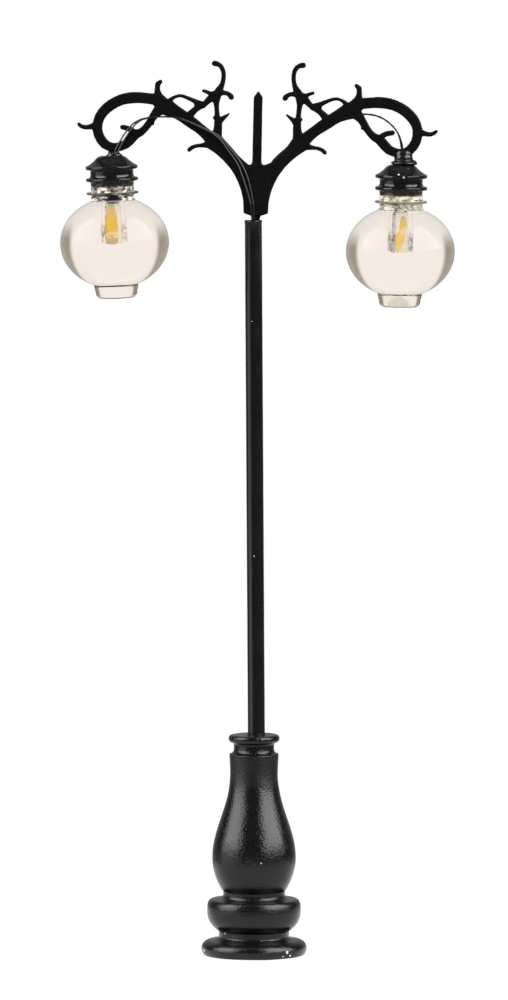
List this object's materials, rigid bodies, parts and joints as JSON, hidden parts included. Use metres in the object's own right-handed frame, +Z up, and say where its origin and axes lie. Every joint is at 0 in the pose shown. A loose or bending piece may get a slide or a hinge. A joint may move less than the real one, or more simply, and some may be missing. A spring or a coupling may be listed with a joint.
{
  "type": "model street lamp",
  "caption": "Miniature street lamp: clear globes hung from a scrolled bracket on a slim tube that stands in a turned baluster base.",
  "frame": {"origin": "centre of the foot's underside, on the surface that the lamp stands on", "axes": "+Z up along the base's axis, +X along the bracket's right arm as seen from the front, -Y towards the front"},
  "size_m": [0.043, 0.0118, 0.098],
  "materials": {
    "base_paint": "satin black paint with a fine grain",
    "pole_paint": "smooth satin black paint",
    "bracket_black": "matt black, slightly mottled",
    "cap_black": "gloss black lacquer",
    "clear_globe": "clear, polished, with a faint warm tint",
    "led_ceramic": "white, satin",
    "led_phosphor": "yellow silicone, smooth",
    "terminal_metal": "gold plated",
    "solder": "bright solder",
    "lead_enamel": "dark enamel with black overspray",
    "neck_glue": "dark brown glue, glossy"
  },
  "bodies": {
    "root": {"base": "base_paint", "pole": "pole_paint", "bracket": "bracket_black", "globe_left": "clear_globe", "globe_right": "clear_globe", "cap_left": "cap_black", "cap_right": "cap_black", "hanger_left": "cap_black", "hanger_right": "cap_black", "neck_seal_left": "neck_glue", "neck_seal_right": "neck_glue", "led_body_left": "led_ceramic", "led_body_right": "led_ceramic", "led_phosphor_left": "led_phosphor", "led_phosphor_right": "led_phosphor", "terminal_left_positive": "terminal_metal", "terminal_left_negative": "terminal_metal", "terminal_right_positive": "terminal_metal", "terminal_right_negative": "terminal_metal", "solder_left_positive": "solder", "solder_left_negative": "solder", "solder_right_positive": "solder", "solder_right_negative": "solder", "lead_left_positive": "lead_enamel", "lead_left_negative": "lead_enamel", "lead_right_positive": "lead_enamel", "lead_right_negative": "lead_enamel"}
  },
  "joints": []
}
